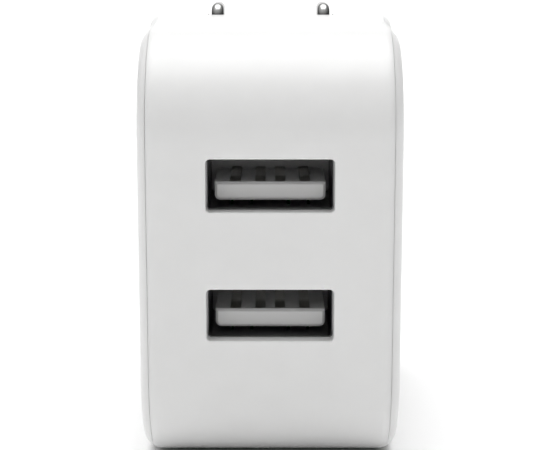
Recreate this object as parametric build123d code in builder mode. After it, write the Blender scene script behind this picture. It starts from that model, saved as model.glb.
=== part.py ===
from build123d import *

import os

# Dual USB wall charger with folding mains blades.
# Frame: millimetres, +Z up, the USB face looks along -Y, X is the width.
# The origin is the middle of the footprint, on the surface that the charger stands on.

# ---- casing ----
HEIGHT = 44.8
DEPTH = 44.0
FRONT_HALF_WIDTH = 13.2
FLARE_RADIUS = 500.0        # each cheek curves outwards on this radius, tangent at the front
FRONT_CORNER = 10.5         # side-view radius where the front turns into the top and bottom
REAR_TOP_CORNER = 5.5
REAR_BOTTOM_CORNER = 5.0
EDGE_ROUND = 1.8            # round-over where the cheeks meet the front, top and bottom
WALL = 1.7
EDGE_BREAK = 0.15           # softened edge of the port windows
FRONT_Y = -DEPTH / 2
BACK_Y = DEPTH / 2
MIDDLE_Z = HEIGHT / 2

# ---- seams between the two casing shells ----
BAND_INSET = 0.95           # the front cover's band stops this far inside the cheek line
SEAM_GAP = 0.03
REAR_SEAM_Y = 11.6
LIP = (17.0, 3.0, 0.9)      # lip of the rear housing under the band: width, length, thickness

# ---- USB type A receptacles ----
PORT_Z = {"upper": 30.0, "lower": 16.9}
WINDOW = (12.7, 5.3)
WINDOW_RADIUS = 0.45
SHELL_OPENING = (12.5, 5.12)
SHELL_METAL = 0.3
SHELL_RADIUS = 0.35
SHELL_FRONT_Y = FRONT_Y + WALL + 0.05
FRAME_WALL = 1.0            # plastic frame behind each window that steadies the shell
FRAME_DEPTH = 3.0
TONGUE = (11.1, 1.84)
TONGUE_DROP = 0.975         # the tongue lies this far below the middle of the opening
TONGUE_RECESS = 1.2
TONGUE_LENGTH = 8.9
CONTACT_X = (-3.5, -1.0, 1.0, 3.5)
CONTACT_WIDTH = 1.0
CONTACT_METAL = 0.25
FINGER_X = 2.9
FINGER = (1.7, 5.5)         # spring finger of the shell: width, length
LEG = (1.5, 2.4)            # solder leg of the shell: width, length

# ---- circuit board ----
BOARD_THICKNESS = 1.6
BOARD_FRONT_Y = -6.6
BOARD_BACK_Y = BOARD_FRONT_Y + BOARD_THICKNESS
BOARD_HALF_WIDTH = 10.9
BOARD_Z = (3.0, 41.8)
PIN_TIP = 0.7               # solder pins stand this far out of the board's back

# ---- folding plug, NEMA 1-15 ----
PIVOT_Y = 17.0
PIVOT_Z = 24.0
BLADE_X = 12.7 / 2
BLADE_THICKNESS = 1.5
BLADE_WIDTH = 6.35
BLADE_REACH = 22.1          # from the pivot to the blade's tip
TAIL_REACH = 6.4            # from the pivot to the end of the contact tail
TAIL_WIDTH = 4.4
BARREL_RADIUS = 4.3
BARREL_HALF_LENGTH = 9.0
BARREL_FLAT = 4.0           # distance of the detent flats from the pivot
FLAT_HALF_LENGTH = 3.4
PIN_RADIUS = 1.0
PIN_HALF_LENGTH = 11.6
PIN_CLEARANCE = 0.05
PLUG_CLEARANCE = 0.4
BOSS_X = (9.4, 12.0)
BOSS_HALF_HEIGHT = 6.0
CHANNEL_WALL = 1.2
RETAINER_Y = (10.4, 12.0)
RETAINER_Z = (17.4, 29.4)
SPRING_METAL = 0.3

PIVOT = (0, PIVOT_Y, PIVOT_Z)

os.makedirs("parts", exist_ok=True)


def save(builder, name):
    """Label one finished piece and write it as its own STEP file."""
    builder.part.label = name
    export_step(builder.part, f"parts/{name}.step")


def frontal(y):
    """A plane facing the USB side at this y; a negative extrusion goes towards the back."""
    return Plane.XZ.offset(-y)


def block(x_range, y_range, z_range, mode=Mode.ADD):
    """A box between two corners, joined to the open part."""
    spans = (x_range, y_range, z_range)
    with Locations(tuple(sum(span) / 2 for span in spans)):
        Box(*(span[1] - span[0] for span in spans), mode=mode)


def barrel_cylinder(radius, half_length, mode=Mode.ADD):
    """A cylinder round the pivot line, joined to the open part."""
    with Locations(PIVOT):
        Cylinder(radius, 2 * half_length, rotation=(0, 90, 0), mode=mode)


def flare(depth):
    """How far a cheek has moved outwards at this depth behind the front."""
    return FLARE_RADIUS - (FLARE_RADIUS**2 - depth**2) ** 0.5


def side_profile(inset, half_width):
    """The casing's side view, pulled in by inset and extruded over the whole width."""
    with BuildPart() as solid:
        with BuildSketch(Plane.YZ) as profile:
            with Locations((0, MIDDLE_Z)):
                Rectangle(DEPTH - 2 * inset, HEIGHT - 2 * inset)
            fillet(profile.vertices().group_by(Axis.X)[0], FRONT_CORNER - inset)
            rear_bottom = profile.vertices().group_by(Axis.X)[-1].sort_by(Axis.Y)[0]
            fillet(rear_bottom, REAR_BOTTOM_CORNER - inset)
            rear_top = profile.vertices().group_by(Axis.X)[-1].sort_by(Axis.Y)[-1]
            fillet(rear_top, REAR_TOP_CORNER - inset)
        extrude(amount=half_width, both=True)
    return solid.part


def plan_prism(inset, back_y):
    """The casing's plan view between its cheek lines, pulled in by inset, up to back_y."""
    half_front = FRONT_HALF_WIDTH - inset
    half_back = half_front + flare(back_y - FRONT_Y)
    with BuildPart() as solid:
        with BuildSketch():
            with BuildLine():
                right = TangentArc((half_front, FRONT_Y), (half_back, back_y), tangent=(0, 1))
                left = TangentArc((-half_front, FRONT_Y), (-half_back, back_y), tangent=(0, 1))
                Line(right @ 0, left @ 0)
                Line(right @ 1, left @ 1)
            make_face()
        extrude(amount=HEIGHT)
    return solid.part


def envelope(inset, edge_round):
    """The casing's rounded form, pulled in by inset all round."""
    plan = plan_prism(inset, BACK_Y)
    with BuildPart() as form:
        add(side_profile(inset, FRONT_HALF_WIDTH + flare(DEPTH) + 1))
        add(plan, mode=Mode.INTERSECT)
        fillet(form.edges().filter_by(Axis.X, reverse=True), edge_round)
    return form.part


OUTER = envelope(0, EDGE_ROUND)
CAVITY = envelope(WALL, 0.4)
CORE = side_profile(WALL, FRONT_HALF_WIDTH + flare(DEPTH))
LAP_CORE = side_profile(WALL + SEAM_GAP, FRONT_HALF_WIDTH + flare(DEPTH))
BAND_ZONE = plan_prism(BAND_INSET, REAR_SEAM_Y)
BAND_CLEARANCE = plan_prism(BAND_INSET - SEAM_GAP, REAR_SEAM_Y + SEAM_GAP)


# ---- front cover: one band over the front, top and bottom, with a window for each port ----
with BuildPart() as front_cover:
    add(OUTER)
    add(BAND_ZONE, mode=Mode.INTERSECT)
    add(CORE, mode=Mode.SUBTRACT)
    for port_z in PORT_Z.values():
        with BuildSketch(frontal(FRONT_Y + WALL)):
            with Locations((0, port_z)):
                RectangleRounded(
                    SHELL_OPENING[0] + 2 * (SHELL_METAL + FRAME_WALL),
                    SHELL_OPENING[1] + 2 * (SHELL_METAL + FRAME_WALL),
                    FRAME_WALL,
                )
        extrude(amount=-FRAME_DEPTH)
    for port_z in PORT_Z.values():
        with BuildSketch(frontal(FRONT_Y)):
            with Locations((0, port_z)):
                RectangleRounded(*WINDOW, WINDOW_RADIUS)
        extrude(amount=-(WALL + 0.1), mode=Mode.SUBTRACT)
        with BuildSketch(frontal(FRONT_Y + WALL)):
            with Locations((0, port_z)):
                RectangleRounded(
                    SHELL_OPENING[0] + 2 * SHELL_METAL + 0.2,
                    SHELL_OPENING[1] + 2 * SHELL_METAL + 0.2,
                    SHELL_RADIUS + SHELL_METAL,
                )
        extrude(amount=-FRAME_DEPTH, mode=Mode.SUBTRACT)
    front_face = front_cover.faces().filter_by(Plane.XZ).sort_by(Axis.Y)[0]
    fillet([edge for wire in front_face.inner_wires() for edge in wire.edges()], EDGE_BREAK)
save(front_cover, "front_cover")


# ---- rear housing: both cheeks, the back and the bay that the plug folds into ----
slot_half = BLADE_THICKNESS / 2 + PLUG_CLEARANCE
slot_front_y = PIVOT_Y - BLADE_WIDTH / 2 - PLUG_CLEARANCE
pocket_radius = BARREL_RADIUS + PLUG_CLEARANCE

with BuildPart() as band_void:
    add(BAND_CLEARANCE)
    add(LAP_CORE, mode=Mode.SUBTRACT)

HALF_WALL_CORE = side_profile(WALL / 2, FRONT_HALF_WIDTH)

with BuildPart() as bay:
    for side in (-1, 1):
        channel_x = sorted(side * (BLADE_X + reach) for reach in (
            -slot_half - CHANNEL_WALL,
            slot_half + CHANNEL_WALL,
        ))
        block(
            channel_x,
            (slot_front_y - CHANNEL_WALL, BACK_Y),
            (PIVOT_Z + pocket_radius, HEIGHT),
        )
        block(
            sorted(side * x for x in BOSS_X),
            (RETAINER_Y[1], BACK_Y),
            (PIVOT_Z - BOSS_HALF_HEIGHT, PIVOT_Z + BOSS_HALF_HEIGHT),
        )
    add(HALF_WALL_CORE, mode=Mode.INTERSECT)


def bay_edge(point):
    """True on the back's edges round the barrel window and the blade slots."""
    beside_slot = abs(point.X) > BLADE_X / 2
    level_with_barrel = abs(point.Z - PIVOT_Z) < BARREL_RADIUS + 1
    return abs(point.X) < BOSS_X[0] + 0.1 and (beside_slot or level_with_barrel)


with BuildPart() as rear_housing:
    add(OUTER)
    add(CAVITY, mode=Mode.SUBTRACT)
    add(band_void.part, mode=Mode.SUBTRACT)
    for base_z, up in ((0, 1), (HEIGHT, -1)):
        lip_z = sorted(base_z + up * reach for reach in (WALL + SEAM_GAP, WALL + LIP[2]))
        root_z = sorted(base_z + up * reach for reach in (WALL / 2, WALL + LIP[2]))
        lip_x = (-LIP[0] / 2, LIP[0] / 2)
        block(lip_x, (REAR_SEAM_Y - LIP[1], REAR_SEAM_Y + SEAM_GAP), lip_z)
        block(lip_x, (REAR_SEAM_Y + SEAM_GAP, REAR_SEAM_Y + LIP[1]), root_z)
    add(bay.part)
    barrel_cylinder(pocket_radius, BOSS_X[0], mode=Mode.SUBTRACT)
    block(
        (-BOSS_X[0], BOSS_X[0]),
        (PIVOT_Y, BACK_Y + 1),
        (PIVOT_Z - pocket_radius, PIVOT_Z + pocket_radius),
        mode=Mode.SUBTRACT,
    )
    for side in (-1, 1):
        block(
            sorted(side * (BLADE_X + reach) for reach in (-slot_half, slot_half)),
            (slot_front_y, BACK_Y + 1),
            (PIVOT_Z, HEIGHT + 1),
            mode=Mode.SUBTRACT,
        )
    pin_hole = PIN_RADIUS + PIN_CLEARANCE
    barrel_cylinder(pin_hole, PIN_HALF_LENGTH + 0.1, mode=Mode.SUBTRACT)
    for side in (-1, 1):
        block(
            sorted(side * x for x in (BOSS_X[0], PIN_HALF_LENGTH + 0.1)),
            (RETAINER_Y[0], PIVOT_Y),
            (PIVOT_Z - pin_hole, PIVOT_Z + pin_hole),
            mode=Mode.SUBTRACT,
        )
    back_face = rear_housing.faces().filter_by(Plane.XZ).sort_by(Axis.Y)[-1]
    fillet(
        back_face.edges().filter_by(lambda edge: bay_edge(edge.center())), 2 * EDGE_BREAK
    )
save(rear_housing, "rear_housing")


# ---- pivot retainer: bracket that closes the pin's slots and carries the springs ----
prong_y = PIVOT_Y - PIN_RADIUS - 2 * PIN_CLEARANCE
window_x = (BLADE_X - 1.25, BLADE_X + 1.85)

with BuildPart() as pivot_retainer:
    block((-BOSS_X[1], BOSS_X[1]), RETAINER_Y, RETAINER_Z)
    fillet(pivot_retainer.edges().filter_by(Axis.Y), 1.0)
    for side in (-1, 1):
        block(
            sorted(side * x for x in (BOSS_X[0] + 0.1, PIN_HALF_LENGTH)),
            (RETAINER_Y[1], prong_y),
            (PIVOT_Z - PIN_RADIUS, PIVOT_Z + PIN_RADIUS),
        )
        block(
            sorted(side * x for x in window_x),
            (RETAINER_Y[0] - 1, RETAINER_Y[1] + 1),
            (PIVOT_Z - 5.1, PIVOT_Z + 3.0),
            mode=Mode.SUBTRACT,
        )
save(pivot_retainer, "pivot_retainer")


# ---- detent spring: bowed leaf that rests near the barrel's flats ----
with BuildPart() as detent_spring:
    with BuildSketch(Plane.YZ):
        with BuildLine() as leaf_line:
            foot = Line((RETAINER_Y[1], PIVOT_Z - 4.4), (RETAINER_Y[1], PIVOT_Z - 3.2))
            bow = RadiusArc(foot @ 1, (RETAINER_Y[1], PIVOT_Z + 3.2), -70)
            Line(bow @ 1, (RETAINER_Y[1], PIVOT_Z + 4.4))
            offset(amount=SPRING_METAL, side=Side.RIGHT)
        make_face()
    extrude(amount=FLAT_HALF_LENGTH - 0.4, both=True)
save(detent_spring, "detent_spring")


# ---- contact springs: strips from the board to the blade tails ----
strip_x = (BLADE_X + BLADE_THICKNESS / 2 + 0.3, BLADE_X + BLADE_THICKNESS / 2 + 0.6)
strip_half_height = 1.5
foot_half_height = 0.9

for name, side in (("left", -1), ("right", 1)):
    across = sorted(side * x for x in strip_x)
    with BuildPart() as contact_spring:
        block(
            across,
            (BOARD_BACK_Y + 0.6, RETAINER_Y[1] + 0.2),
            (PIVOT_Z - strip_half_height, PIVOT_Z + strip_half_height),
        )
        chamfer(
            contact_spring.edges().filter_by(Axis.X).group_by(Axis.Y)[-1], 0.7
        )
        block(
            across,
            (BOARD_FRONT_Y - PIN_TIP, BOARD_BACK_Y + 0.6),
            (PIVOT_Z - foot_half_height, PIVOT_Z + foot_half_height),
        )
    save(contact_spring, f"{name}_contact_spring")


# ---- blades: rounded tip, body, narrower root with the pin hole, and contact tail ----
tip_shoulder = 1.6
tip_round = 0.68

for name, side in (("left", -1), ("right", 1)):
    middle_x = side * BLADE_X
    top = PIVOT_Z + BLADE_REACH
    with BuildPart() as blade:
        with BuildSketch(Plane.YZ.offset(middle_x)):
            with Locations((PIVOT_Y, PIVOT_Z + (BLADE_REACH + BARREL_RADIUS - 1.4) / 2)):
                Rectangle(BLADE_WIDTH, BLADE_REACH - BARREL_RADIUS + 1.4)
            with Locations((PIVOT_Y, PIVOT_Z + (BARREL_RADIUS - TAIL_REACH) / 2)):
                Rectangle(TAIL_WIDTH, BARREL_RADIUS + TAIL_REACH)
        extrude(amount=BLADE_THICKNESS / 2, both=True)
        tip_corners = blade.edges().filter_by(Axis.X).group_by(Axis.Z)[-1]
        fillet(tip_corners, tip_shoulder)
        tail_corners = blade.edges().filter_by(Axis.X).group_by(Axis.Z)[0]
        chamfer(tail_corners, 0.6)
        tip_rim = blade.edges().filter_by(Axis.X, reverse=True).filter_by(
            lambda edge: edge.center().Z > PIVOT_Z + BLADE_REACH - 1.2 * tip_shoulder
        )
        fillet(tip_rim, tip_round)
        with Locations((middle_x, PIVOT_Y, PIVOT_Z)):
            Cylinder(PIN_RADIUS, 4, rotation=(0, 90, 0), mode=Mode.SUBTRACT)
    save(blade, f"{name}_blade")


# ---- plug carrier: moulded barrel that both blades are set in ----
tail_slot_half = BLADE_THICKNESS / 2

with BuildPart() as plug_carrier:
    barrel_cylinder(BARREL_RADIUS, BARREL_HALF_LENGTH)
    chamfer(plug_carrier.edges().filter_by(GeomType.CIRCLE), 0.4)
    flat_x = (-FLAT_HALF_LENGTH, FLAT_HALF_LENGTH)
    beyond_y = (PIVOT_Y - BARREL_FLAT - 2, PIVOT_Y - BARREL_FLAT)
    beyond_z = (PIVOT_Z - BARREL_FLAT - 2, PIVOT_Z - BARREL_FLAT)
    barrel_y = (PIVOT_Y - BARREL_RADIUS, PIVOT_Y + BARREL_RADIUS)
    barrel_z = (PIVOT_Z - BARREL_RADIUS, PIVOT_Z + BARREL_RADIUS)
    block(flat_x, beyond_y, barrel_z, mode=Mode.SUBTRACT)
    block(flat_x, barrel_y, beyond_z, mode=Mode.SUBTRACT)
    for middle_x in (-BLADE_X, BLADE_X):
        wall_x = (middle_x - tail_slot_half, middle_x + tail_slot_half)
        block(
            wall_x,
            (PIVOT_Y - BLADE_WIDTH / 2, PIVOT_Y + BLADE_WIDTH / 2),
            (PIVOT_Z + BARREL_RADIUS - 1.4, PIVOT_Z + BARREL_RADIUS + 1),
            mode=Mode.SUBTRACT,
        )
        block(
            wall_x,
            (PIVOT_Y - TAIL_WIDTH / 2, PIVOT_Y + TAIL_WIDTH / 2),
            (PIVOT_Z - BARREL_RADIUS - 1, PIVOT_Z + BARREL_RADIUS),
            mode=Mode.SUBTRACT,
        )
    barrel_cylinder(PIN_RADIUS, PIN_HALF_LENGTH, mode=Mode.SUBTRACT)
save(plug_carrier, "plug_carrier")


# ---- pivot pin ----
with BuildPart() as pivot_pin:
    barrel_cylinder(PIN_RADIUS, PIN_HALF_LENGTH)
    chamfer(pivot_pin.edges().filter_by(GeomType.CIRCLE), 0.2)
save(pivot_pin, "pivot_pin")


# ---- USB receptacles: metal shell, moulded tongue and four contacts each ----
shell_rear_y = BOARD_FRONT_Y
tongue_front_y = SHELL_FRONT_Y + TONGUE_RECESS
tongue_root_y = tongue_front_y + TONGUE_LENGTH
finger_front_y = SHELL_FRONT_Y + 2.6
finger_gap = 0.3
strip_slack = 0.05
tail_half_width = 0.3

for name, port_z in PORT_Z.items():
    half_height = SHELL_OPENING[1] / 2
    tongue_z = port_z - TONGUE_DROP
    strip_top = tongue_z + TONGUE[1] / 2 + 0.06
    strip_z = (strip_top - CONTACT_METAL, strip_top)

    with BuildPart() as usb_shell:
        with BuildSketch(frontal(SHELL_FRONT_Y)):
            with Locations((0, port_z)):
                RectangleRounded(
                    SHELL_OPENING[0] + 2 * SHELL_METAL,
                    SHELL_OPENING[1] + 2 * SHELL_METAL,
                    SHELL_RADIUS + SHELL_METAL,
                )
                RectangleRounded(*SHELL_OPENING, SHELL_RADIUS, mode=Mode.SUBTRACT)
        extrude(amount=-(shell_rear_y - SHELL_FRONT_Y))
        for side_z in (-1, 1):
            wall_in = port_z + side_z * half_height
            wall_out = port_z + side_z * (half_height + SHELL_METAL)
            for finger_x in (-FINGER_X, FINGER_X):
                block(
                    (finger_x - FINGER[0] / 2 - finger_gap, finger_x + FINGER[0] / 2 + finger_gap),
                    (finger_front_y, finger_front_y + FINGER[1] + finger_gap),
                    sorted((wall_in - side_z * 0.1, wall_out + side_z * 0.1)),
                    mode=Mode.SUBTRACT,
                )
                bump_y = finger_front_y + 0.75 * FINGER[1]
                end_y = finger_front_y + FINGER[1]
                with BuildSketch(Plane.YZ.offset(finger_x)):
                    with BuildLine():
                        Polyline(
                            (finger_front_y - 0.2, wall_in),
                            (bump_y, wall_in - side_z * 0.5),
                            (end_y, wall_in - side_z * 0.25),
                            (end_y, wall_in - side_z * 0.25 + side_z * SHELL_METAL),
                            (bump_y, wall_in - side_z * 0.5 + side_z * SHELL_METAL),
                            (finger_front_y - 0.2, wall_out),
                            close=True,
                        )
                    make_face()
                extrude(amount=FINGER[0] / 2, both=True)
        for side_x in (-1, 1):
            leg_x = sorted(side_x * (SHELL_OPENING[0] / 2 + reach) for reach in (0, SHELL_METAL))
            block(
                leg_x,
                (shell_rear_y - 0.1, shell_rear_y + LEG[1]),
                (port_z - LEG[0] / 2, port_z + LEG[0] / 2),
            )
    save(usb_shell, f"{name}_usb_shell")

    with BuildPart() as usb_tongue:
        with BuildSketch(frontal(tongue_front_y)):
            with Locations((0, tongue_z)):
                Rectangle(*TONGUE)
        extrude(amount=-TONGUE_LENGTH)
        fillet(usb_tongue.edges().filter_by(Axis.Y).group_by(Axis.Z)[0], 0.55)
        chamfer(usb_tongue.faces().sort_by(Axis.Y)[0].edges(), 0.25)
        with BuildSketch(frontal(tongue_root_y)):
            with Locations((0, port_z)):
                RectangleRounded(
                    SHELL_OPENING[0] - 0.1, SHELL_OPENING[1] - 0.1, SHELL_RADIUS
                )
        extrude(amount=-(shell_rear_y - tongue_root_y - 0.05))
        for contact_x in CONTACT_X:
            half = CONTACT_WIDTH / 2 + strip_slack
            block(
                (contact_x - half, contact_x + half),
                (tongue_front_y + 0.5, shell_rear_y),
                (strip_z[0] - strip_slack, tongue_z + TONGUE[1] / 2 + 0.2),
                mode=Mode.SUBTRACT,
            )
    save(usb_tongue, f"{name}_usb_tongue")

    with BuildPart() as usb_contacts:
        for contact_x in CONTACT_X:
            with BuildSketch(Plane.YZ.offset(contact_x)):
                with BuildLine():
                    Polyline(
                        (tongue_front_y + 0.7, strip_z[0]),
                        (shell_rear_y - 0.1, strip_z[0]),
                        (shell_rear_y - 0.1, strip_z[1]),
                        (tongue_front_y + 4.4, strip_z[1]),
                        (tongue_front_y + 3.2, strip_z[1] + 0.22),
                        (tongue_front_y + 2.2, strip_z[1] + 0.22),
                        (tongue_front_y + 0.7, strip_z[1] - 0.1),
                        close=True,
                    )
                make_face()
            extrude(amount=CONTACT_WIDTH / 2, both=True)
            block(
                (contact_x - tail_half_width, contact_x + tail_half_width),
                (shell_rear_y - 0.1, BOARD_BACK_Y + PIN_TIP),
                strip_z,
            )
    save(usb_contacts, f"{name}_usb_contacts")


# ---- main board: drilled for the ports' pins and slotted for legs and contact springs ----
with BuildPart() as main_board:
    with BuildSketch(frontal(BOARD_FRONT_Y)):
        with Locations((0, sum(BOARD_Z) / 2)):
            RectangleRounded(2 * BOARD_HALF_WIDTH, BOARD_Z[1] - BOARD_Z[0], 1.0)
        for port_z in PORT_Z.values():
            pin_z = port_z - TONGUE_DROP + TONGUE[1] / 2 + 0.06 - CONTACT_METAL / 2
            with Locations([(contact_x, pin_z) for contact_x in CONTACT_X]):
                Circle(0.45, mode=Mode.SUBTRACT)
            leg_x = (SHELL_OPENING[0] + SHELL_METAL) / 2
            with Locations((-leg_x, port_z), (leg_x, port_z)):
                SlotOverall(LEG[0] + 0.7, 0.7, rotation=90, mode=Mode.SUBTRACT)
        strip_middle = sum(strip_x) / 2
        with Locations((-strip_middle, PIVOT_Z), (strip_middle, PIVOT_Z)):
            SlotOverall(2 * foot_half_height + 0.7, 0.7, rotation=90, mode=Mode.SUBTRACT)
    extrude(amount=-BOARD_THICKNESS)
save(main_board, "main_board")


# ---- transformer: ferrite core, bobbin with pins, winding and outer tape ----
TRANSFORMER_AT = (3.0, 10.2)        # x and z of its middle on the board's back
CORE_SIZE = (13.0, 8.6, 12.0)       # width, thickness and height along z of the E cores
CORE_LEG = 2.4
CENTRE_LEG = 3.6
STAND_OFF = 2.6                     # bobbin foot between the board and the core
core_x, core_z = TRANSFORMER_AT
core_y = (BOARD_BACK_Y + STAND_OFF, BOARD_BACK_Y + STAND_OFF + CORE_SIZE[1])
core_mid_y = sum(core_y) / 2
core_span_x = (core_x - CORE_SIZE[0] / 2, core_x + CORE_SIZE[0] / 2)
core_span_z = (core_z - CORE_SIZE[2] / 2, core_z + CORE_SIZE[2] / 2)
window_half_x = CORE_SIZE[0] / 2 - CORE_LEG
window_half_z = CORE_SIZE[2] / 2 - CORE_LEG
sleeve_wall = 0.5

with BuildPart() as transformer_core:
    block(core_span_x, core_y, core_span_z)
    chamfer(transformer_core.edges().filter_by(Axis.Y), 0.3)
    block(
        (core_x - window_half_x, core_x + window_half_x),
        (core_y[0] - 1, core_y[1] + 1),
        (core_z - window_half_z, core_z + window_half_z),
        mode=Mode.SUBTRACT,
    )
    block(
        (core_x - CENTRE_LEG / 2, core_x + CENTRE_LEG / 2),
        (core_mid_y - CENTRE_LEG / 2, core_mid_y + CENTRE_LEG / 2),
        (core_span_z[0] + 1, core_span_z[1] - 1),
    )
save(transformer_core, "transformer_core")


def sleeve(outer, inner, z_reach):
    """A square tube round the transformer's centre leg."""
    with BuildSketch(Plane.XY.offset(core_z - z_reach)) as section:
        with Locations((core_x, core_mid_y)):
            Rectangle(2 * outer[0], 2 * outer[1])
            Rectangle(2 * inner[0], 2 * inner[1], mode=Mode.SUBTRACT)
    extrude(section.sketch, amount=2 * z_reach)


leg_half = CENTRE_LEG / 2 + 0.05
sleeve_half = leg_half + sleeve_wall
coil_half = (window_half_x - 0.9, CORE_SIZE[1] / 2 + 0.1)
tape_half = (coil_half[0] + 0.4, coil_half[1] + 0.4)
coil_reach = window_half_z - 0.6

with BuildPart() as transformer_bobbin:
    sleeve((sleeve_half, sleeve_half), (leg_half, leg_half), window_half_z - 0.05)
    for flange_z in (core_z - window_half_z + 0.3, core_z + window_half_z - 0.3):
        with BuildSketch(Plane.XY.offset(flange_z - 0.25)):
            with Locations((core_x, core_mid_y)):
                Rectangle(2 * (window_half_x - 0.1), 2 * (tape_half[1] + 0.2))
                Rectangle(2 * leg_half, 2 * leg_half, mode=Mode.SUBTRACT)
        extrude(amount=0.5)
    for end_z, inward in ((core_span_z[0], 1), (core_span_z[1], -1)):
        block(
            (core_span_x[0] + 0.4, core_span_x[1] - 0.4),
            (BOARD_BACK_Y + 0.4, core_y[0] - 0.05),
            sorted((end_z + inward * 0.2, end_z + inward * 2.6)),
        )
        for pin_x in (-4.5, -1.5, 1.5, 4.5):
            block(
                (core_x + pin_x - 0.3, core_x + pin_x + 0.3),
                (BOARD_BACK_Y, BOARD_BACK_Y + 0.5),
                sorted((end_z + inward * 0.8, end_z + inward * 1.4)),
            )
save(transformer_bobbin, "transformer_bobbin")


def outer_corners(builder):
    """The four upright edges that lie furthest from the centre leg."""
    middle = Vector(core_x, core_mid_y, core_z)
    upright = builder.edges().filter_by(Axis.Z)
    return upright.sort_by(lambda edge: (edge.center() - middle).length)[-4:]


with BuildPart() as transformer_winding:
    sleeve(coil_half, (sleeve_half + 0.02, sleeve_half + 0.02), coil_reach)
    fillet(outer_corners(transformer_winding), 0.4)
save(transformer_winding, "transformer_winding")

with BuildPart() as transformer_tape:
    sleeve(tape_half, (coil_half[0] + 0.02, coil_half[1] + 0.02), coil_reach - 0.2)
    fillet(outer_corners(transformer_tape), 0.5)
save(transformer_tape, "transformer_tape")


# ---- round parts that stand on the board ----
def standing(x, z, reach_from, reach_to):
    """A plane and height for a part that stands on the board's back at x, z."""
    return frontal(BOARD_BACK_Y + reach_from), (x, z), -(reach_to - reach_from)


def electrolytic(x, z, radius, length):
    """Aluminium can with a crimp groove, a rounded top and two leads in the board's surface."""
    plane, centre, amount = standing(x, z, 0.3, length)
    with BuildSketch(plane) as can_base:
        with Locations(centre):
            Circle(radius)
    extrude(can_base.sketch, amount=amount)
    can_top = faces(Select.LAST).sort_by(Axis.Y)[-1]
    fillet(can_top.edges(), 0.4)
    groove_y = BOARD_BACK_Y + 1.6
    with Locations((x, groove_y, z)):
        Torus(radius, 0.3, rotation=(90, 0, 0), mode=Mode.SUBTRACT)
    for lead_x in (-1.25, 1.25):
        block(
            (x + lead_x - 0.25, x + lead_x + 0.25),
            (BOARD_BACK_Y, BOARD_BACK_Y + 0.4),
            (z - 0.25, z + 0.25),
        )


INPUT_CAPACITORS = ((-7.3, 38.0), (-0.7, 38.0))
OUTPUT_CAPACITORS = ((-7.4, 6.6), (-7.4, 13.2))

for group, places, length in (
    ("input", INPUT_CAPACITORS, 13.5),
    ("output", OUTPUT_CAPACITORS, 11.5),
):
    for index, (x, z) in enumerate(places, start=1):
        with BuildPart() as capacitor:
            electrolytic(x, z, 3.15, length)
        save(capacitor, f"{group}_capacitor_{index}")

INDUCTOR_AT = (6.0, 38.4)
with BuildPart() as filter_inductor:
    for radius, start, end in ((2.4, 0.2, 1.2), (1.9, 1.2, 4.6), (2.4, 4.6, 5.6)):
        plane, centre, amount = standing(*INDUCTOR_AT, start, end)
        with BuildSketch(plane):
            with Locations(centre):
                Circle(radius)
        extrude(amount=amount)
    block(
        (INDUCTOR_AT[0] - 1.4, INDUCTOR_AT[0] + 1.4),
        (BOARD_BACK_Y, BOARD_BACK_Y + 0.3),
        (INDUCTOR_AT[1] - 0.3, INDUCTOR_AT[1] + 0.3),
    )
save(filter_inductor, "filter_inductor")


# ---- fuse resistor: body with domed ends, lying across the board on two leads ----
FUSE_X = (5.0, 9.9)
FUSE_Z = 33.4
FUSE_RADIUS = 1.2
fuse_y = BOARD_BACK_Y + FUSE_RADIUS + 0.3
with BuildPart() as fuse_resistor:
    with Locations((sum(FUSE_X) / 2, fuse_y, FUSE_Z)):
        Cylinder(FUSE_RADIUS, FUSE_X[1] - FUSE_X[0], rotation=(0, 90, 0))
    fillet(fuse_resistor.edges().filter_by(GeomType.CIRCLE), 0.5)
    for end_x, outward in ((FUSE_X[0], -1), (FUSE_X[1], 1)):
        block(
            sorted((end_x - outward * 0.2, end_x + outward * 0.7)),
            (fuse_y - 0.25, fuse_y + 0.25),
            (FUSE_Z - 0.25, FUSE_Z + 0.25),
        )
        block(
            sorted((end_x + outward * 0.2, end_x + outward * 0.7)),
            (BOARD_BACK_Y, fuse_y - 0.2),
            (FUSE_Z - 0.25, FUSE_Z + 0.25),
        )
save(fuse_resistor, "fuse_resistor")


# ---- safety capacitor: coated disc on edge ----
SAFETY_AT = (2.6, 31.2)
SAFETY_RADIUS = 3.4
SAFETY_THICKNESS = 2.6
safety_y = BOARD_BACK_Y + SAFETY_RADIUS + 0.6
with BuildPart() as safety_capacitor:
    with Locations((SAFETY_AT[0], safety_y, SAFETY_AT[1])):
        Cylinder(SAFETY_RADIUS, SAFETY_THICKNESS, rotation=(0, 90, 0))
    fillet(safety_capacitor.edges().filter_by(GeomType.CIRCLE), 1.0)
    for lead_z in (-1.9, 1.9):
        block(
            (SAFETY_AT[0] - 0.25, SAFETY_AT[0] + 0.25),
            (BOARD_BACK_Y, safety_y - 1.9),
            (SAFETY_AT[1] + lead_z - 0.25, SAFETY_AT[1] + lead_z + 0.25),
        )
save(safety_capacitor, "safety_capacitor")


# ---- flat packages with legs on two sides ----
def package(x, z, size, legs, leg_reach):
    """A moulded package: size is width, height off the board and length; legs per side."""
    width, rise, length = size
    block(
        (x - width / 2, x + width / 2),
        (BOARD_BACK_Y + 0.15, BOARD_BACK_Y + rise),
        (z - length / 2, z + length / 2),
    )
    chamfer(faces(Select.LAST).sort_by(Axis.Y)[-1].edges(), 0.25)
    pitch = length / legs
    for index in range(legs):
        leg_z = z - length / 2 + pitch * (index + 0.5)
        block(
            (x - width / 2 - leg_reach, x + width / 2 + leg_reach),
            (BOARD_BACK_Y, BOARD_BACK_Y + 0.25),
            (leg_z - 0.2 * pitch, leg_z + 0.2 * pitch),
        )


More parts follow.
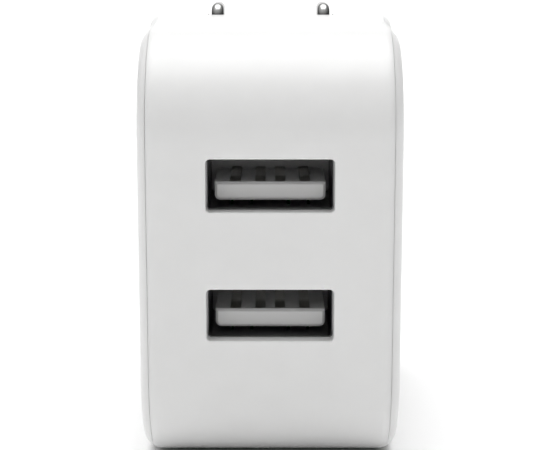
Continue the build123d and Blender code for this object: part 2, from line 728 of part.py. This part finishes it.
PACKAGES = {
    "bridge_rectifier": (-2.9, 32.5, (4.4, 2.4, 3.8), 2, 0.9),
    "controller_chip": (-2.4, 24.2, (3.9, 1.6, 4.9), 4, 0.7),
    "output_diode": (-4.6, 19.7, (4.3, 2.3, 3.2), 1, 0.5),
}
for name, (x, z, size, legs, leg_reach) in PACKAGES.items():
    with BuildPart() as chip:
        package(x, z, size, legs, leg_reach)
    save(chip, name)


# ---- power transistor: half-round body on three legs ----
TRANSISTOR_AT = (3.6, 23.4)
with BuildPart() as power_transistor:
    plane, centre, amount = standing(*TRANSISTOR_AT, 1.6, 6.2)
    with BuildSketch(plane):
        with Locations(centre):
            Circle(2.2)
            with Locations((0, -2.3)):
                Rectangle(5, 2, mode=Mode.SUBTRACT)
    extrude(amount=amount)
    chamfer(power_transistor.faces().sort_by(Axis.Y)[-1].edges(), 0.2)
    for leg_x in (-1.27, 0, 1.27):
        block(
            (TRANSISTOR_AT[0] + leg_x - 0.2, TRANSISTOR_AT[0] + leg_x + 0.2),
            (BOARD_BACK_Y, BOARD_BACK_Y + 1.7),
            (TRANSISTOR_AT[1] - 0.2, TRANSISTOR_AT[1] + 0.2),
        )
save(power_transistor, "power_transistor")


# ---- chip resistors and chip capacitors, one node of identical small blocks ----
CHIP_SIZE = (1.6, 0.55, 0.8)
CHIP_PLACES = (
    (1.6, 19.0),
    (4.2, 19.0),
    (9.4, 19.4),
    (9.4, 28.6),
    (6.2, 28.0),
    (-9.2, 21.0),
    (-9.2, 18.6),
    (-9.4, 30.6),
)
with BuildPart() as chip_resistors:
    for x, z in CHIP_PLACES:
        block(
            (x - CHIP_SIZE[0] / 2, x + CHIP_SIZE[0] / 2),
            (BOARD_BACK_Y, BOARD_BACK_Y + CHIP_SIZE[1]),
            (z - CHIP_SIZE[2] / 2, z + CHIP_SIZE[2] / 2),
        )
save(chip_resistors, "chip_resistors")
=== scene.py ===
import math

import bpy
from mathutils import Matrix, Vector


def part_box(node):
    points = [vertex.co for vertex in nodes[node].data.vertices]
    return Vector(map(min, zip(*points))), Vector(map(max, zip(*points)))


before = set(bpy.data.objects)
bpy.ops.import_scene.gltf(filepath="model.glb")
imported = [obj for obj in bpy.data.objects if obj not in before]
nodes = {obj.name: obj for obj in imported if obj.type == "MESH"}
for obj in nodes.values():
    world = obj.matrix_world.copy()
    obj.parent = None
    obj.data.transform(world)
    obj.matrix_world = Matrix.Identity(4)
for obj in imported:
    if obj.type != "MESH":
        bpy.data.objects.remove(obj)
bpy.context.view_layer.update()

# ---- camera: a little above the charger's top, looking down at the USB face ----
CAMERA_AT = (0.0002, -0.1656, 0.05434)
CAMERA_PITCH = 11.11
CAMERA_YAW = 0.085
SENSOR = 36.0
LENS = 99.0
NEAREST = 0.01
FURTHEST = 20.0

camera_data = bpy.data.cameras.new("camera")
camera_data.sensor_width = SENSOR
camera_data.lens = LENS
camera_data.clip_start = NEAREST
camera_data.clip_end = FURTHEST
camera = bpy.data.objects.new("camera", camera_data)
camera.location = CAMERA_AT
camera.rotation_euler = (math.radians(90 - CAMERA_PITCH), 0, math.radians(CAMERA_YAW))
bpy.context.scene.collection.objects.link(camera)
bpy.context.scene.camera = camera


# ---- node building ----
class Finish:
    """A Principled material whose colour, roughness and relief come from object-space textures."""

    def __init__(self, name):
        self.material = bpy.data.materials.new(name)
        self.material.use_nodes = True
        self.tree = self.material.node_tree
        self.shader = self.tree.nodes["Principled BSDF"]
        self.place = self.tree.nodes.new("ShaderNodeTexCoord").outputs["Object"]
        self.height = None

    def fixed(self, **values):
        """Sets shader sockets that are the same all over; an underscore stands for a space."""
        for socket, value in values.items():
            self.shader.inputs[socket.replace("_", " ")].default_value = value
        return self

    def link(self, source, target):
        self.tree.links.new(source, target)

    def math(self, operation, first, second, third=None):
        """One sum on numbers or sockets."""
        node = self.tree.nodes.new("ShaderNodeMath")
        node.operation = operation
        for socket, value in zip(node.inputs, (first, second, third)):
            if value is None:
                continue
            if isinstance(value, (int, float)):
                socket.default_value = value
            else:
                self.link(value, socket)
        return node.outputs[0]

    def stretched(self, scale):
        """Object coordinates multiplied by a scale for each axis."""
        node = self.tree.nodes.new("ShaderNodeMapping")
        node.inputs["Scale"].default_value = scale
        self.link(self.place, node.inputs["Vector"])
        return node.outputs["Vector"]

    def noise(self, size, detail=3.0, stretch=(1, 1, 1)):
        """A noise value whose grains are size metres across before the stretch."""
        node = self.tree.nodes.new("ShaderNodeTexNoise")
        node.inputs["Scale"].default_value = 1.0
        node.inputs["Detail"].default_value = detail
        self.link(self.stretched(tuple(s / size for s in stretch)), node.inputs["Vector"])
        return node.outputs["Fac"]

    def axis(self, name):
        """Object coordinate, in metres, along X, Y or Z."""
        node = self.tree.nodes.new("ShaderNodeSeparateXYZ")
        self.link(self.place, node.inputs[0])
        return node.outputs[name]

    def stripes(self, axis, pitch):
        """A wave from 0 to 1 that repeats at this pitch along one axis."""
        turned = self.math("MULTIPLY", self.axis(axis), 2 * math.pi / pitch)
        wave = self.math("SINE", turned, 0.0)
        return self.math("MULTIPLY_ADD", wave, 0.5, 0.5)

    def ramp(self, value, *stops, hard=False):
        """Colour from (position, colour) stops; hard stops make bands with sharp edges."""
        node = self.tree.nodes.new("ShaderNodeValToRGB")
        band = node.color_ramp
        if hard:
            band.interpolation = "CONSTANT"
        while len(band.elements) < len(stops):
            band.elements.new(1.0)
        for element, (position, colour) in zip(band.elements, stops):
            element.position = position
            element.color = (*colour, 1.0)
        self.link(value, node.inputs["Fac"])
        return node.outputs["Color"]

    def mix(self, factor, first, second):
        """Colour between two colours or colour sockets."""
        node = self.tree.nodes.new("ShaderNodeMix")
        node.data_type = "RGBA"
        given = (("Factor_Float", factor), ("A_Color", first), ("B_Color", second))
        for socket, value in given:
            target = next(s for s in node.inputs if s.identifier == socket)
            if isinstance(value, tuple):
                target.default_value = (*value, 1.0)
            elif isinstance(value, (int, float)):
                target.default_value = value
            else:
                self.link(value, target)
        return next(s for s in node.outputs if s.identifier == "Result_Color")

    def colour(self, source):
        self.link(source, self.shader.inputs["Base Color"])
        return self

    def rough(self, value, low, high):
        """Roughness that goes from low to high as the value goes from 0 to 1."""
        node = self.tree.nodes.new("ShaderNodeMapRange")
        node.inputs["To Min"].default_value = low
        node.inputs["To Max"].default_value = high
        self.link(value, node.inputs["Value"])
        self.link(node.outputs[0], self.shader.inputs["Roughness"])
        return self

    def relief(self, value, depth):
        """Adds one layer of bump, depth metres high."""
        node = self.tree.nodes.new("ShaderNodeBump")
        node.inputs["Distance"].default_value = depth
        node.inputs["Strength"].default_value = 1.0
        self.link(value, node.inputs["Height"])
        if self.height is not None:
            self.link(self.height, node.inputs["Normal"])
        self.height = node.outputs["Normal"]
        self.link(self.height, self.shader.inputs["Normal"])
        return self


def shade(colour, factor):
    return tuple(channel * factor for channel in colour)


# Sizes of the textures' grains and heights of their relief, in metres.
CLOUD = 0.003
POLISH = 0.006
MOULD_GRAIN = 0.0004
MOULD_RELIEF = 0.0000005
SINK_RELIEF = 0.000004
TARNISH = 0.003
DRAWN_LINE = 0.0001
DRAWN_RELIEF = 0.000003
PRESSED_GRAIN = 0.0003
PRESSED_RELIEF = 0.000015

POLISH_SPREAD = 0.025
PLASTIC_IOR = 1.49
BOARD_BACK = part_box("main_board")[1].y
TIN = (0.62, 0.61, 0.58)


def moulded(name, colour, roughness, relief=MOULD_RELIEF, drift=0.02):
    """Moulded plastic: faint cloudy colour, fine mould grain, polish that varies a little."""
    finish = Finish(name)
    cloud = finish.noise(CLOUD, detail=5.0)
    finish.colour(finish.ramp(cloud, (0.3, shade(colour, 1 - drift)), (0.7, colour)))
    finish.rough(finish.noise(POLISH), roughness - POLISH_SPREAD, roughness + POLISH_SPREAD)
    finish.relief(finish.noise(MOULD_GRAIN), relief)
    finish.relief(finish.noise(POLISH, detail=0.0), SINK_RELIEF)
    finish.fixed(IOR=PLASTIC_IOR)
    return finish


def metal(name, colour, roughness, stretch):
    """Plated metal: drawing lines along one axis, slight tarnish and uneven polish."""
    finish = Finish(name)
    tarnish = finish.noise(TARNISH, detail=5.0)
    lines = finish.noise(DRAWN_LINE, stretch=stretch)
    tint = finish.ramp(tarnish, (0.3, shade(colour, 0.86)), (0.65, colour))
    darker = finish.mix(lines, shade(colour, 0.8), tint)
    finish.colour(finish.mix(0.35, tint, darker))
    finish.rough(lines, roughness - 0.06, roughness + 0.08)
    finish.relief(lines, DRAWN_RELIEF)
    finish.fixed(Metallic=1.0)
    return finish


def with_tin_legs(finish, body, rise):
    """Tinned metal up to this rise off the board, and the body's colour above it."""
    legs = finish.math("LESS_THAN", finish.axis("Y"), BOARD_BACK + rise)
    finish.colour(finish.mix(legs, body, TIN))
    finish.link(legs, finish.shader.inputs["Metallic"])
    return finish


def speckled(name, colour, roughness, grain=PRESSED_GRAIN):
    """Pressed or cast body with light and dark grains."""
    finish = Finish(name)
    grains = finish.noise(grain, detail=2.0)
    finish.colour(finish.ramp(grains, (0.35, shade(colour, 0.7)), (0.7, shade(colour, 1.35))))
    finish.rough(grains, roughness - 0.08, roughness + 0.08)
    finish.relief(grains, PRESSED_RELIEF)
    return finish


# ---- finishes ----
casing_white = moulded("casing_white_look", (0.81, 0.81, 0.805), 0.32)
casing_white.fixed(
    Subsurface_Weight=0.3, Subsurface_Scale=0.0012, Subsurface_Radius=(1.0, 1.0, 1.0)
)
inner_white = moulded("inner_white_look", (0.78, 0.78, 0.76), 0.42)

blade_nickel = metal("blade_nickel_look", (0.42, 0.42, 0.415), 0.2, (1, 1, 0.03))
pin_steel = metal("pin_steel_look", (0.5, 0.5, 0.5), 0.3, (0.05, 1, 1))
spring_bronze = metal("spring_bronze_look", (0.66, 0.47, 0.25), 0.28, (1, 0.05, 1))
port_steel = metal("port_steel_look", (0.34, 0.34, 0.345), 0.36, (1, 0.04, 1))
contact_plating = metal("contact_plating_look", (0.72, 0.71, 0.68), 0.4, (1, 0.05, 1))

tongue_plastic = moulded("tongue_plastic_look", (0.72, 0.72, 0.715), 0.4, relief=0.000004)
bobbin_black = moulded("bobbin_black_look", (0.02, 0.02, 0.022), 0.45)
tape_yellow = moulded("tape_yellow_look", (0.78, 0.56, 0.09), 0.25, drift=0.12)
TAPE_WIDTH = 0.0028
TAPE_EDGE = 0.00002
tape_yellow.relief(tape_yellow.stripes("Z", TAPE_WIDTH), TAPE_EDGE)

GLASS_WEAVE = 0.0005
TRACK_SIZE = 0.0035
TRACK_LEVEL = 0.54
TRACK_RELIEF = 0.00003
MASK_POLISH = 0.001
board_green = Finish("board_green_look")
weave = board_green.math(
    "MULTIPLY", board_green.stripes("X", GLASS_WEAVE), board_green.stripes("Z", GLASS_WEAVE)
)
mask = board_green.ramp(weave, (0.0, (0.012, 0.12, 0.045)), (1.0, (0.018, 0.17, 0.06)))
track_noise = board_green.noise(TRACK_SIZE, detail=0.0)
tracks = board_green.math("GREATER_THAN", track_noise, TRACK_LEVEL)
board_green.colour(board_green.mix(tracks, mask, (0.03, 0.24, 0.09)))
board_green.rough(board_green.noise(MASK_POLISH), 0.24, 0.36)
board_green.relief(tracks, TRACK_RELIEF)

WIRE_PITCH = 0.00022
WIRE_RELIEF = 0.00008
winding_copper = Finish("winding_copper_look")
turns_and_groove_shade = winding_copper.stripes("Z", WIRE_PITCH)
# The colour is painted shade: dark red-brown in the grooves between turns, full copper on each
# turn's crown. The same stripes also set the roughness and the bump.
winding_copper.colour(
    winding_copper.ramp(turns_and_groove_shade, (0.1, (0.22, 0.06, 0.02)), (0.8, (0.72, 0.28, 0.1)))
)
winding_copper.rough(turns_and_groove_shade, 0.42, 0.24)
winding_copper.relief(turns_and_groove_shade, WIRE_RELIEF)
winding_copper.fixed(Metallic=0.8)

ferrite = speckled("ferrite_look", (0.06, 0.06, 0.062), 0.6)
inductor_body = speckled("inductor_body_look", (0.05, 0.052, 0.055), 0.55)
disc_blue = speckled("disc_blue_look", (0.05, 0.16, 0.42), 0.3, grain=0.0009)

TOP_FACING = 0.8
SLEEVE_CLOUD = 0.002
SLEEVE_POLISH = 0.0008
SLEEVE_WRINKLE = 0.0015
SLEEVE_RELIEF = 0.00002
can_sleeve = Finish("can_sleeve_look")
facing = can_sleeve.tree.nodes.new("ShaderNodeTexCoord").outputs["Normal"]
facing_axes = can_sleeve.tree.nodes.new("ShaderNodeSeparateXYZ")
can_sleeve.link(facing, facing_axes.inputs[0])
bare_top = can_sleeve.math("GREATER_THAN", facing_axes.outputs["Y"], TOP_FACING)
sleeve_tint = can_sleeve.ramp(
    can_sleeve.noise(SLEEVE_CLOUD), (0.3, (0.012, 0.014, 0.03)), (0.7, (0.02, 0.024, 0.05))
)
can_sleeve.colour(can_sleeve.mix(bare_top, sleeve_tint, (0.7, 0.7, 0.7)))
can_sleeve.link(bare_top, can_sleeve.shader.inputs["Metallic"])
can_sleeve.rough(can_sleeve.noise(SLEEVE_POLISH), 0.26, 0.4)
can_sleeve.relief(can_sleeve.noise(SLEEVE_WRINKLE), SLEEVE_RELIEF)

LEAD_REACH = 0.0007
PAINT_GRAIN = 0.0006
PAINT_RELIEF = 0.00001
BEIGE = (0.55, 0.42, 0.24)
RED = (0.3, 0.02, 0.02)
BLACK = (0.02, 0.02, 0.02)
GOLD = (0.5, 0.36, 0.08)
resistor_body = Finish("resistor_body_look")
resistor_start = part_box("fuse_resistor")[0].x + LEAD_REACH
resistor_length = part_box("fuse_resistor")[1].x - LEAD_REACH - resistor_start
from_start = resistor_body.math("SUBTRACT", resistor_body.axis("X"), resistor_start)
along = resistor_body.math("DIVIDE", from_start, resistor_length)
resistor_body.colour(
    resistor_body.ramp(
        along,
        (0.0, BEIGE),
        (0.16, RED),
        (0.26, BEIGE),
        (0.38, BLACK),
        (0.48, BEIGE),
        (0.6, RED),
        (0.7, BEIGE),
        (0.84, GOLD),
        (0.92, BEIGE),
        hard=True,
    )
)
resistor_body.rough(resistor_body.noise(PAINT_GRAIN), 0.3, 0.45)
resistor_body.relief(resistor_body.noise(PAINT_GRAIN), PAINT_RELIEF)

PACKAGE_LEG_RISE = 0.00027
PACKAGE_GRAIN = 0.0004
package_black = speckled("package_black_look", (0.018, 0.018, 0.02), 0.5)
package_tint = package_black.ramp(
    package_black.noise(PACKAGE_GRAIN), (0.3, (0.012, 0.012, 0.013)), (0.7, (0.026, 0.026, 0.028))
)
with_tin_legs(package_black, package_tint, PACKAGE_LEG_RISE)

CHIP_END_RISE = 0.00012
CHIP_CLOUD = 0.0005
CHIP_POLISH = 0.0003
chip_body = Finish("chip_body_look")
chip_tint = chip_body.ramp(
    chip_body.noise(CHIP_CLOUD), (0.3, (0.02, 0.02, 0.022)), (0.7, (0.05, 0.045, 0.04))
)
with_tin_legs(chip_body, chip_tint, CHIP_END_RISE)
chip_body.rough(chip_body.noise(CHIP_POLISH), 0.35, 0.5)

FINISHED_NODES = {
    casing_white: ("front_cover", "rear_housing", "plug_carrier"),
    inner_white: ("pivot_retainer",),
    blade_nickel: ("left_blade", "right_blade"),
    pin_steel: ("pivot_pin",),
    spring_bronze: ("detent_spring", "left_contact_spring", "right_contact_spring"),
    port_steel: ("upper_usb_shell", "lower_usb_shell"),
    tongue_plastic: ("upper_usb_tongue", "lower_usb_tongue"),
    contact_plating: ("upper_usb_contacts", "lower_usb_contacts"),
    board_green: ("main_board",),
    ferrite: ("transformer_core",),
    bobbin_black: ("transformer_bobbin",),
    winding_copper: ("transformer_winding",),
    tape_yellow: ("transformer_tape",),
    can_sleeve: (
        "input_capacitor_1",
        "input_capacitor_2",
        "output_capacitor_1",
        "output_capacitor_2",
    ),
    inductor_body: ("filter_inductor",),
    resistor_body: ("fuse_resistor",),
    disc_blue: ("safety_capacitor",),
    package_black: ("bridge_rectifier", "controller_chip", "output_diode", "power_transistor"),
    chip_body: ("chip_resistors",),
}
for finish, names in FINISHED_NODES.items():
    for name in names:
        for material_slot in nodes[name].material_slots:
            material_slot.material = finish.material


# ---- studio ----
FLOOR_HALF = 3.0
FLOOR_DROP = 0.00002
FLOOR_SEGMENTS = 24
FLOOR_CLOUD = 0.2


def floor_mesh():
    """A flat sheet of quads under the object."""
    step = 2 * FLOOR_HALF / FLOOR_SEGMENTS
    row = FLOOR_SEGMENTS + 1
    points = [
        (-FLOOR_HALF + i * step, -FLOOR_HALF + j * step, -FLOOR_DROP)
        for j in range(row)
        for i in range(row)
    ]
    quads = [
        (j * row + i, j * row + i + 1, (j + 1) * row + i + 1, (j + 1) * row + i)
        for j in range(FLOOR_SEGMENTS)
        for i in range(FLOOR_SEGMENTS)
    ]
    mesh = bpy.data.meshes.new("floor")
    mesh.from_pydata(points, [], quads)
    return mesh


floor = bpy.data.objects.new("floor", floor_mesh())
bpy.context.scene.collection.objects.link(floor)
floor_look = Finish("floor_look")
floor_look.colour(
    floor_look.ramp(
        floor_look.noise(FLOOR_CLOUD), (0.3, (0.93, 0.93, 0.93)), (0.7, (0.95, 0.95, 0.95))
    )
)
floor_look.fixed(Roughness=0.9, Specular_IOR_Level=0.1)
floor.data.materials.append(floor_look.material)

# The sky is a soft tent: darkest low down in front, dimmer on the right than on the left,
# bright overhead, and with a bright wall behind. Each ramp is (position, level) along its axis.
TENT = ((0.0, 0.06), (0.3, 0.14), (0.7, 0.72), (1.0, 1.1))
SIDES = ((0.0, 1.25), (0.5, 1.0), (1.0, 0.55))
BACK_WALL = ((0.0, 0.0), (0.75, 0.1), (0.95, 1.1))
SUN_STRENGTH = 2.15
SUN_SPREAD = 60
SUN_FROM_BEHIND = 8.0

world = bpy.data.worlds.new("studio")
world.use_nodes = True
bpy.context.scene.world = world
sky = world.node_tree
background = sky.nodes["Background"]
direction = sky.nodes.new("ShaderNodeTexCoord").outputs["Generated"]
split = sky.nodes.new("ShaderNodeSeparateXYZ")
sky.links.new(direction, split.inputs[0])


def sky_ramp(value, low, high, stops):
    """A grey level for a direction's component between low and high."""
    spread = sky.nodes.new("ShaderNodeMapRange")
    spread.inputs["From Min"].default_value = low
    spread.inputs["From Max"].default_value = high
    sky.links.new(value, spread.inputs["Value"])
    ramp = sky.nodes.new("ShaderNodeValToRGB")
    while len(ramp.color_ramp.elements) < len(stops):
        ramp.color_ramp.elements.new(1.0)
    for element, (position, level) in zip(ramp.color_ramp.elements, stops):
        element.position = position
        element.color = (level, level, level, 1.0)
    sky.links.new(spread.outputs[0], ramp.inputs["Fac"])
    return ramp.outputs["Color"]


height_level = sky_ramp(split.outputs["Z"], 0.0, 1.0, TENT)
side_level = sky_ramp(split.outputs["X"], -1.0, 1.0, SIDES)
back_level = sky_ramp(split.outputs["Y"], 0.0, 1.0, BACK_WALL)


def sky_pair(operation, first, second):
    """Two grey levels put together by one vector operation."""
    node = sky.nodes.new("ShaderNodeVectorMath")
    node.operation = operation
    sky.links.new(first, node.inputs[0])
    sky.links.new(second, node.inputs[1])
    return node.outputs[0]


tent = sky_pair("MULTIPLY", height_level, side_level)
sky.links.new(sky_pair("MAXIMUM", tent, back_level), background.inputs["Color"])

sun_data = bpy.data.lights.new("overhead", "SUN")
sun_data.energy = SUN_STRENGTH
sun_data.angle = math.radians(SUN_SPREAD)
sun = bpy.data.objects.new("overhead", sun_data)
sun.rotation_euler = (math.radians(-SUN_FROM_BEHIND), 0, 0)
bpy.context.scene.collection.objects.link(sun)

bpy.context.scene.view_settings.view_transform = "Standard"
